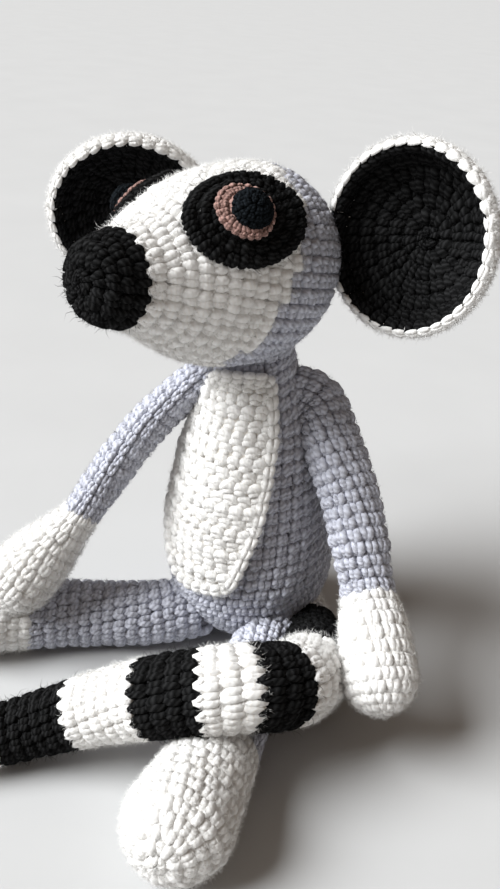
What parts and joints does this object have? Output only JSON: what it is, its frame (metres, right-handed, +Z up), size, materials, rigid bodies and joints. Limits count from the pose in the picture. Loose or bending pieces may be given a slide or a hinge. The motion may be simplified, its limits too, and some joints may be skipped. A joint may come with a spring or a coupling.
{
  "type": "crocheted ring-tailed lemur soft toy",
  "caption": "Sitting crocheted lemur toy with cup-shaped ears, raised eyes, a sewn-on belly panel, long limbs and a ringed tail laid over one leg.",
  "frame": {"origin": "middle of the flat of the trunk's seat, on the floor", "axes": "+Z up, the toy faces -Y, its left side is +X"},
  "size_m": [0.1728, 0.1911, 0.2006],
  "materials": {
    "grey_yarn": "crocheted acrylic yarn, light bluish grey",
    "white_yarn": "crocheted acrylic yarn, white with a soft nap",
    "black_yarn": "crocheted acrylic yarn, soft black with stray fibres",
    "brown_yarn": "thin crocheted yarn, pinkish brown",
    "navy_yarn": "thin crocheted yarn, nearly black navy"
  },
  "bodies": {
    "root": {"trunk": "grey_yarn", "neck": "grey_yarn", "belly_panel": "white_yarn", "head_nose": "black_yarn", "head_face": "white_yarn", "head_back": "grey_yarn", "arm_left": "grey_yarn", "hand_left": "white_yarn", "arm_right": "grey_yarn", "hand_right": "white_yarn", "leg_left": "grey_yarn", "foot_left": "white_yarn", "leg_right": "grey_yarn", "foot_right": "white_yarn", "ear_left_shell": "white_yarn", "ear_left_lining": "black_yarn", "ear_right_shell": "white_yarn", "ear_right_lining": "black_yarn", "eye_left_patch": "black_yarn", "eye_left_iris": "brown_yarn", "eye_left_pupil": "navy_yarn", "eye_right_patch": "black_yarn", "eye_right_iris": "brown_yarn", "eye_right_pupil": "navy_yarn", "tail_01": "white_yarn", "tail_02": "black_yarn", "tail_03": "white_yarn", "tail_04": "black_yarn", "tail_05": "white_yarn", "tail_06": "black_yarn", "tail_07": "white_yarn", "tail_08": "black_yarn", "tail_09": "white_yarn", "tail_10": "black_yarn"}
  },
  "joints": []
}
